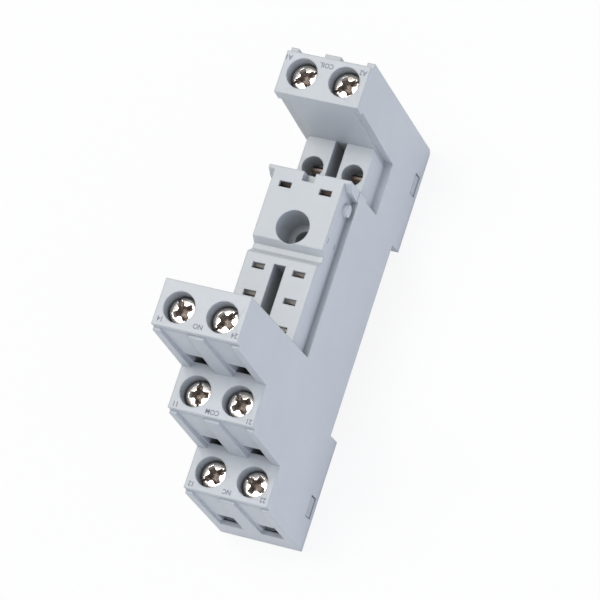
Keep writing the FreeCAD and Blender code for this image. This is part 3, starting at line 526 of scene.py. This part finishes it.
def place_screws():
    """One mesh for all eight, each turned in its own way; their sizes are the same."""
    low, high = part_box("screw_12")
    mesh = screw_mesh(high.z - low.z)
    for mark in MARKS:
        node = f"screw_{mark}"
        low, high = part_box(node)
        item = add_mesh(f"{node}_nickelled", mesh, nickel)
        centre = (low + high) / 2
        turn = Matrix.Rotation(math.radians(SLOT_TURN[mark]), 4, "Z")
        item.matrix_world = Matrix.Translation((centre.x, centre.y, high.z)) @ turn
        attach(item, node)
        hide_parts(node)


# Latch spring with round wire

LATCH_TRAVEL = 2.5 * MM
WIRE = 0.35 * MM
# Room at both ends of the spring
END_GAP = 0.02 * MM
# The open turns in all, and the closed ones at each end
OPEN_TURNS = 3.0
CLOSED_TURNS = 0.5
# Part of the length that one closed turn, and all of the open ones, take up
CLOSED_RISE = 0.045
OPEN_RISE = 0.91
WIRE_POINTS = 260


def make_spring():
    """The wire, the point at its fixed end, and the part of its length left at the latch's limit."""
    low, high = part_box("latch_spring")
    middle = (low + high) / 2
    radius = (high.x - low.x) / 2 - WIRE / 2
    length = (high.y - low.y) - WIRE - 2 * END_GAP
    curve = bpy.data.curves.new("spring_line", "CURVE")
    curve.dimensions = "3D"
    curve.bevel_depth = WIRE / 2
    curve.bevel_resolution = 4
    curve.use_fill_caps = True
    line = curve.splines.new("POLY")
    line.points.add(WIRE_POINTS - 1)
    total = OPEN_TURNS + 2 * CLOSED_TURNS
    for index, point in enumerate(line.points):
        at = index / (WIRE_POINTS - 1) * total
        if at < CLOSED_TURNS:
            share = CLOSED_RISE * at
        elif at > total - CLOSED_TURNS:
            share = 1 - CLOSED_RISE * (total - at)
        else:
            share = CLOSED_RISE + OPEN_RISE * (at - CLOSED_TURNS) / OPEN_TURNS
        angle = FULL_TURN * at
        along = low.y + END_GAP + WIRE / 2 + share * length
        point.co = (middle.x + radius * math.cos(angle), along, middle.z + radius * math.sin(angle), 1.0)
    item = add_mesh("latch_spring_wire", curve_mesh("latch_spring_wire", curve), spring_steel)
    smooth(item.data, angle=40)
    anchor = (middle.x, low.y, middle.z)
    return item, anchor, 1 - LATCH_TRAVEL / (high.y - low.y)


# Printed terminal marks

# Height of the letters in millimetres, their narrowing, and their boldness and depth before scaling
CAP_HEIGHT = 0.93
MARK_NARROWING = 0.9
MARK_BOLDNESS = 0.026
MARK_DEPTH = 0.012
# Text, X and Y in millimetres from the frame's origin, and the face that carries it
PRINTS = (
    ("14", 6.6, 18.6, "high"), ("NO", -0.3, 18.55, "high"), ("24", -6.9, 18.65, "high"),
    ("11", 6.6, 27.9, "middle"), ("COM", -0.2, 27.9, "middle"), ("21", -7.0, 28.0, "middle"),
    ("12", 6.75, 36.85, "low"), ("NC", 0.0, 36.8, "low"), ("22", -6.7, 36.7, "low"),
    ("A1", 7.0, -35.45, "coil"), ("COIL", 0.0, -35.25, "coil"), ("A2", -6.75, -35.25, "coil"),
)
# Height of the faces in millimetres
FACE_HEIGHT = {"low": 22.4, "middle": 39.9, "high": 57.4, "coil": 39.5}


def print_mark(text, x, y, height):
    """One mark, lying on its face and read from above."""
    curve = bpy.data.curves.new("letters", "FONT")
    curve.body = text
    curve.size = 1.0
    curve.offset = MARK_BOLDNESS
    curve.extrude = MARK_DEPTH
    curve.resolution_u = 3
    mesh = curve_mesh("letters", curve)
    xs = [vertex.co.x for vertex in mesh.vertices]
    ys = [vertex.co.y for vertex in mesh.vertices]
    scale = CAP_HEIGHT * MM / (max(ys) - min(ys))
    centre = Vector(((max(xs) + min(xs)) / 2, (max(ys) + min(ys)) / 2, 0))
    for vertex in mesh.vertices:
        vertex.co = (vertex.co - centre) * scale
        vertex.co.x *= MARK_NARROWING
    item = add_mesh(f"print_{text.lower()}", mesh, ink)
    item.location = (x * MM, y * MM, height * MM)
    bpy.context.view_layer.update()
    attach(item, "socket")


# Making of the pieces

housing = softened("housing", housing_plastic, width=0.16 * MM)
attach(housing, "socket")
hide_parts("housing")
base = softened("rear_base", base_plastic, width=0.1 * MM)
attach(base, "socket")
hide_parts("rear_base")
latch = softened("rail_latch", latch_plastic, width=0.15 * MM)
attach(latch, "latch")
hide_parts("rail_latch")
place_screws()
for mark in MARKS:
    paint(NODES[f"clamp_{mark}"].data, cage_zinc)
    paint(NODES[f"contact_{mark}"].data, coil_alloy if mark in COIL_MARKS else strip_alloy)
spring, spring_anchor, spring_keep = make_spring()
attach(spring, "socket")
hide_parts("latch_spring")
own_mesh(spring)
for text, x, y, face in PRINTS:
    print_mark(text, x, y, FACE_HEIGHT[face])


# Floor, light and camera

# Half the floor's side in metres, how far it lies under the object, and how much of it shows as plain white
FLOOR_REACH = 3.0
FLOOR_DROP = 0.05 * MM
FLOOR_WHITE = 0.88


def draw_floor(drawing):
    corners = ((-1, -1), (1, -1), (1, 1), (-1, 1))
    points = [(x * FLOOR_REACH, y * FLOOR_REACH, -FLOOR_DROP) for x, y in corners]
    drawing.faces.new([drawing.verts.new(point) for point in points])


def make_floor():
    """Pale floor that blends into the background, keeps the shadow and is clear from below."""
    material, s = new_material("pale_floor")
    seen = s.background_rays(s.light_path())
    pale = s.blend(s.noise(14), (0.86, 0.86, 0.86), (0.89, 0.89, 0.89))
    matt = s.node("ShaderNodeBsdfDiffuse", {"Color": pale}).outputs["BSDF"]
    bright = s.node("ShaderNodeEmission", {"Color": (1, 1, 1, 1), "Strength": 1.0}).outputs["Emission"]
    clear = s.node("ShaderNodeBsdfTransparent").outputs["BSDF"]
    behind = s.node("ShaderNodeNewGeometry").outputs["Backfacing"]
    shown = s.mix_shaders(s.math("MULTIPLY", seen, FLOOR_WHITE), matt, bright)
    s.finish(s.mix_shaders(behind, shown, clear))
    floor = add_mesh("floor", mesh_from(draw_floor), material)
    if floor.data.polygons[0].normal.z < 0:
        floor.data.flip_normals()


# Direction of the bright panel that the screw heads mirror, and the tones away from it and in it
PANEL_SIDE = (0.42, -0.12, 0.9)
PANEL_DARK = (0.30, 0.295, 0.29)
PANEL_BRIGHT = (0.90, 0.885, 0.865)
# Direction of the wide soft light that falls on the sides and the wire entries, its gain and its tints
SOFT_SIDE = (-0.855, 0.453, 0.252)
SOFT_GAIN = 2.8
SOFT_NEAR = (0.75, 0.81, 1.0)
SOFT_FAR = (0.92, 0.95, 1.0)


def make_world(strength):
    """White to the camera, a bright panel in reflections, and soft light that is stronger from one side."""
    world = bpy.data.worlds.new("studio")
    bpy.context.scene.world = world
    world.use_nodes = True
    s = Shader(world.node_tree)
    path = s.light_path()
    seen = s.background_rays(path)
    direction = s.node("ShaderNodeTexCoord").outputs["Generated"]
    side = s.dot(direction, SOFT_SIDE)
    soft = s.node("ShaderNodeBackground", {
        "Color": s.blend(s.span(side, 0, 1), SOFT_FAR, SOFT_NEAR),
        "Strength": s.span(side, strength, SOFT_GAIN * strength),
    }).outputs["Background"]
    panel = s.span(s.dot(direction, PANEL_SIDE), 0, 1, start=0.86, end=0.985)
    tone = s.blend(path["Is Camera Ray"], s.blend(panel, PANEL_DARK, PANEL_BRIGHT), (1.0, 1.0, 1.0))
    shown = s.node("ShaderNodeBackground", {"Color": tone, "Strength": 1.0}).outputs["Background"]
    s.finish(s.mix_shaders(seen, soft, shown), "World")


# The point that the lamps face
LAMP_AIM = Vector((0, 0, 0.02))


def add_lamp(name, place, size, power, colour):
    """Square lamp, its side in metres and its power in watts."""
    lamp = bpy.data.lights.new(name, "AREA")
    lamp.size = size
    lamp.energy = power
    lamp.color = colour
    item = add_object(name, lamp)
    place = Vector(place)
    aim = (LAMP_AIM - place).normalized()
    item.matrix_world = Matrix.Translation(place) @ aim.to_track_quat("-Z", "Y").to_matrix().to_4x4()


# Camera at the photograph's viewing angle: place in metres, directions, and lens and sensor in millimetres
CAMERA_PLACE = Vector((-0.25523, 0.16577, 0.65493))
CAMERA_RIGHT = Vector((-0.9092, -0.3029, -0.2855))
CAMERA_UP = Vector((0.2063, -0.9237, 0.3229))
LENS = 246.3
SENSOR = 36.0


def make_camera():
    camera = bpy.data.cameras.new("camera")
    camera.lens = LENS
    camera.sensor_width = SENSOR
    camera.clip_start = 0.01
    camera.clip_end = 20.0
    item = add_object("camera", camera)
    right = CAMERA_RIGHT.normalized()
    back = right.cross(CAMERA_UP).normalized()
    up = back.cross(right)
    turn = Matrix((right, up, back)).transposed().to_4x4()
    item.matrix_world = Matrix.Translation(CAMERA_PLACE) @ turn
    bpy.context.scene.camera = item


make_floor()
make_world(strength=0.415)
add_lamp("key", place=(0.22, -0.10, 0.95), size=0.4, power=4.9, colour=(1.0, 0.975, 0.94))
add_lamp("fill", place=(-0.42, 0.26, 0.065), size=0.3, power=0.22, colour=(0.66, 0.72, 1.0))
make_camera()
bpy.context.scene.view_settings.view_transform = "Standard"
